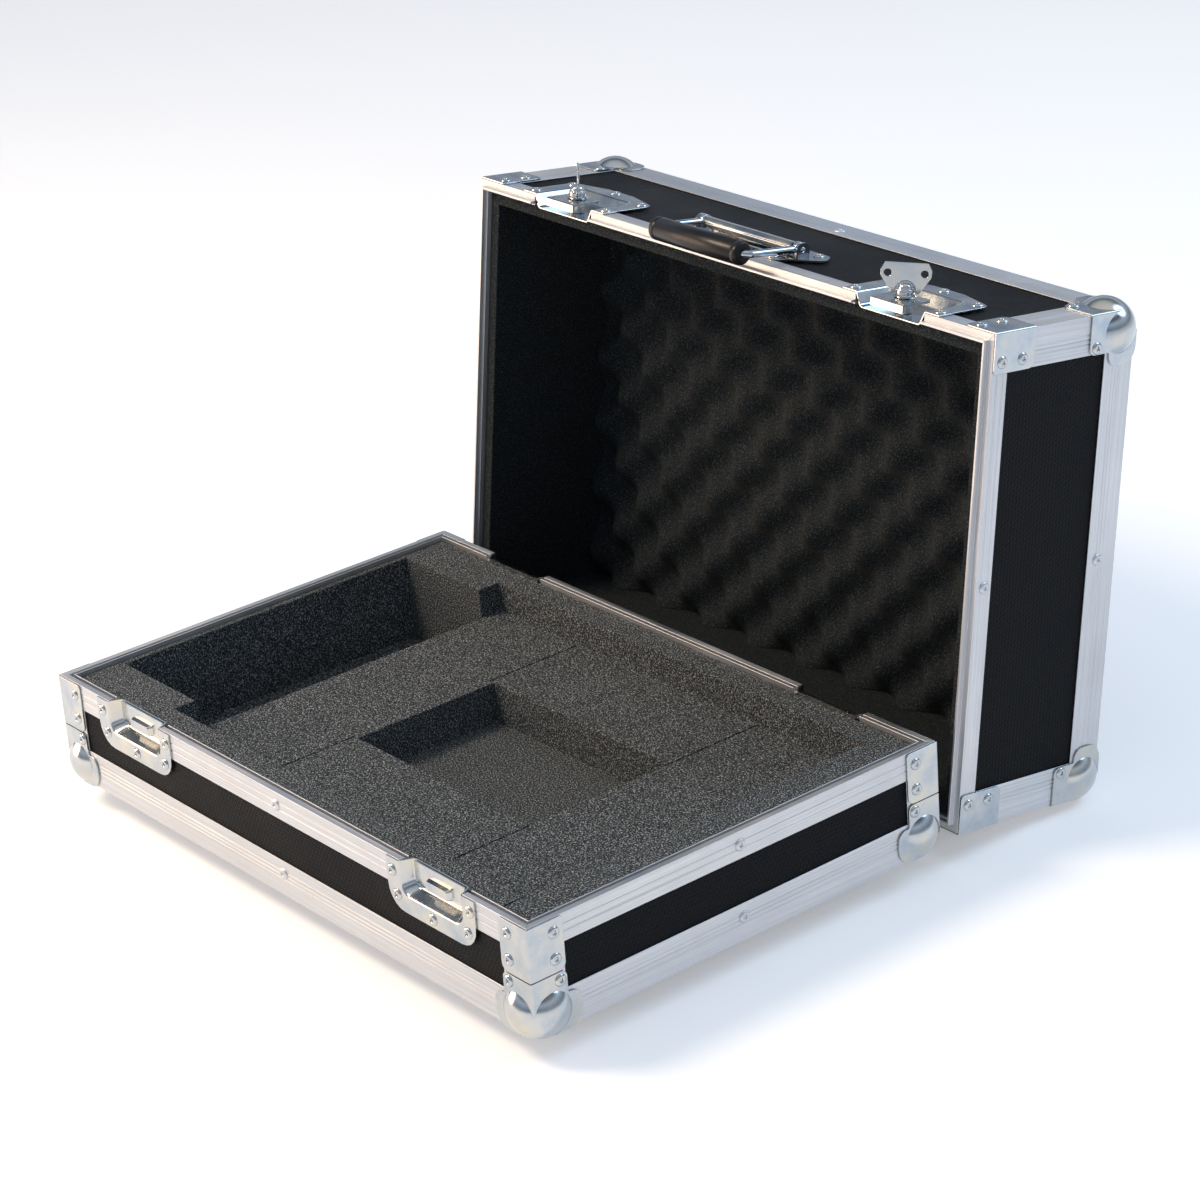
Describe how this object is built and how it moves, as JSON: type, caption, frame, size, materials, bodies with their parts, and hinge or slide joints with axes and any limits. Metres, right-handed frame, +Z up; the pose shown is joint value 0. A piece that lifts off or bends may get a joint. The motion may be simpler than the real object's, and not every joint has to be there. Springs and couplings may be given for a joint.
{
  "type": "flight case",
  "caption": "Shallow foam-lined flight case with a deep lift-off lid standing open behind it, ball corners, recessed butterfly latches and a sprung bail handle.",
  "frame": {"origin": "middle of the bounding box in plan, on the floor under the feet", "axes": "+Z up, +X along the case towards the viewer's right, +Y from the base's front towards the standing lid"},
  "size_m": [0.616, 0.6206, 0.4366],
  "materials": {
    "black_laminated_plywood": "matt black laminate with a fine pressed texture",
    "aluminium_extrusion": "satin mill finish with fine lengthwise ribs",
    "zinc_plated_steel": "bright zinc plate on pressed steel",
    "foam": "charcoal closed-cell foam, matt, lightly speckled",
    "black_rubber": "matt moulded rubber",
    "black_vinyl": "smooth glossy vinyl sleeve"
  },
  "bodies": {
    "base": {"base_floor_panel": "black_laminated_plywood", "base_wall_panels": "black_laminated_plywood", "base_edge_frame": "aluminium_extrusion", "base_rim_left": "aluminium_extrusion", "base_rim_right": "aluminium_extrusion", "base_rim_front": "aluminium_extrusion", "base_rim_back": "aluminium_extrusion", "base_brace_front_left": "zinc_plated_steel", "base_brace_front_right": "zinc_plated_steel", "base_brace_back_left": "zinc_plated_steel", "base_brace_back_right": "zinc_plated_steel", "base_ball_corner_front_left": "zinc_plated_steel", "base_ball_corner_front_right": "zinc_plated_steel", "base_ball_corner_back_left": "zinc_plated_steel", "base_ball_corner_back_right": "zinc_plated_steel", "keeper_front_left": "zinc_plated_steel", "keeper_front_right": "zinc_plated_steel", "keeper_back_left": "zinc_plated_steel", "keeper_back_right": "zinc_plated_steel", "foot_front_left": "black_rubber", "foot_front_right": "black_rubber", "foot_back_left": "black_rubber", "foot_back_right": "black_rubber", "base_foam": "foam"},
    "handle_pin": {"handle_pin": "zinc_plated_steel"},
    "lid": {"lid_top_panel": "black_laminated_plywood", "lid_wall_panels": "black_laminated_plywood", "lid_edge_frame": "aluminium_extrusion", "lid_rim_left": "aluminium_extrusion", "lid_rim_right": "aluminium_extrusion", "lid_rim_front": "aluminium_extrusion", "lid_rim_back": "aluminium_extrusion", "lid_brace_front_left": "zinc_plated_steel", "lid_brace_front_right": "zinc_plated_steel", "lid_brace_back_left": "zinc_plated_steel", "lid_brace_back_right": "zinc_plated_steel", "lid_ball_corner_front_left": "zinc_plated_steel", "lid_ball_corner_front_right": "zinc_plated_steel", "lid_ball_corner_back_left": "zinc_plated_steel", "lid_ball_corner_back_right": "zinc_plated_steel", "latch_plate_front_left": "zinc_plated_steel", "latch_plate_front_right": "zinc_plated_steel", "latch_plate_back_left": "zinc_plated_steel", "latch_plate_back_right": "zinc_plated_steel", "handle_plate": "zinc_plated_steel", "lid_foam": "foam"},
    "handle": {"handle_bail": "zinc_plated_steel", "handle_grip": "black_vinyl"},
    "spindle_front_left": {"latch_spindle_front_left": "zinc_plated_steel"},
    "hook_front_left": {"latch_hook_front_left": "zinc_plated_steel"},
    "wing_front_left": {"latch_wing_front_left": "zinc_plated_steel"},
    "spindle_front_right": {"latch_spindle_front_right": "zinc_plated_steel"},
    "hook_front_right": {"latch_hook_front_right": "zinc_plated_steel"},
    "wing_front_right": {"latch_wing_front_right": "zinc_plated_steel"},
    "spindle_back_left": {"latch_spindle_back_left": "zinc_plated_steel"},
    "hook_back_left": {"latch_hook_back_left": "zinc_plated_steel"},
    "wing_back_left": {"latch_wing_back_left": "zinc_plated_steel"},
    "spindle_back_right": {"latch_spindle_back_right": "zinc_plated_steel"},
    "hook_back_right": {"latch_hook_back_right": "zinc_plated_steel"},
    "wing_back_right": {"latch_wing_back_right": "zinc_plated_steel"}
  },
  "joints": [
    {"name": "lid_carry", "type": "hinge", "parent": "base", "child": "handle_pin", "pos_m": [0, -0.01102, 0.18774], "axis": [1, 0, 0], "range_deg": [0, 140]},
    {"name": "lid_turn", "type": "hinge", "parent": "handle_pin", "child": "lid", "pos_m": [0, 0.19167, 0.41258], "axis": [1, 0, 0], "range_deg": [-42.1, 0]},
    {"name": "handle_swing", "type": "hinge", "parent": "lid", "child": "handle", "pos_m": [0, 0.19167, 0.41258], "axis": [-1, 0, 0], "range_deg": [0, 90], "stiffness_Nm_per_rad": 0.05, "springref_deg": -11.46},
    {"name": "spindle_turn_front_left", "type": "hinge", "parent": "lid", "child": "spindle_front_left", "pos_m": [-0.192, 0.17167, 0.40679], "axis": [0, 0.1387, 0.9903], "range_deg": [-142, 38]},
    {"name": "hook_draw_front_left", "type": "slide", "parent": "lid", "child": "hook_front_left", "axis": [0, -0.9903, 0.1387], "range_m": [-0.0009, 0.0032]},
    {"name": "wing_fold_front_left", "type": "hinge", "parent": "spindle_front_left", "child": "wing_front_left", "pos_m": [-0.192, 0.1727, 0.41412], "axis": [-0.788, 0.6097, -0.0854], "range_deg": [0, 90]},
    {"name": "spindle_turn_front_right", "type": "hinge", "parent": "lid", "child": "spindle_front_right", "pos_m": [0.192, 0.17167, 0.40679], "axis": [0, 0.1387, 0.9903], "range_deg": [-45, 135]},
    {"name": "hook_draw_front_right", "type": "slide", "parent": "lid", "child": "hook_front_right", "axis": [0, -0.9903, 0.1387], "range_m": [-0.0011, 0.0031]},
    {"name": "wing_fold_front_right", "type": "hinge", "parent": "spindle_front_right", "child": "wing_front_right", "pos_m": [0.192, 0.1727, 0.41412], "axis": [-0.7071, -0.7003, 0.098], "range_deg": [0, 90]},
    {"name": "spindle_turn_back_left", "type": "hinge", "parent": "lid", "child": "spindle_back_left", "pos_m": [-0.192, 0.11815, 0.02452], "axis": [0, -0.1387, -0.9903], "range_deg": [0, 180]},
    {"name": "hook_draw_back_left", "type": "slide", "parent": "lid", "child": "hook_back_left", "axis": [0, -0.9903, 0.1387], "range_m": [0, 0.0041]},
    {"name": "wing_fold_back_left", "type": "hinge", "parent": "spindle_back_left", "child": "wing_back_left", "pos_m": [-0.192, 0.11713, 0.01719], "axis": [1, 0, 0], "range_deg": [-50, 40]},
    {"name": "spindle_turn_back_right", "type": "hinge", "parent": "lid", "child": "spindle_back_right", "pos_m": [0.192, 0.11815, 0.02452], "axis": [0, -0.1387, -0.9903], "range_deg": [0, 180]},
    {"name": "hook_draw_back_right", "type": "slide", "parent": "lid", "child": "hook_back_right", "axis": [0, -0.9903, 0.1387], "range_m": [0, 0.0041]},
    {"name": "wing_fold_back_right", "type": "hinge", "parent": "spindle_back_right", "child": "wing_back_right", "pos_m": [0.192, 0.11713, 0.01719], "axis": [1, 0, 0], "range_deg": [-50, 40]}
  ],
  "couplings": [
    {"joint": "lid_turn", "follows": "lid_carry", "ratio": -0.30021},
    {"joint": "hook_draw_front_left", "follows": "spindle_turn_front_left", "m_per_rad": -0.0012732},
    {"joint": "hook_draw_front_right", "follows": "spindle_turn_front_right", "m_per_rad": 0.0012732},
    {"joint": "hook_draw_back_left", "follows": "spindle_turn_back_left", "m_per_rad": 0.0012732},
    {"joint": "hook_draw_back_right", "follows": "spindle_turn_back_right", "m_per_rad": 0.0012732}
  ]
}
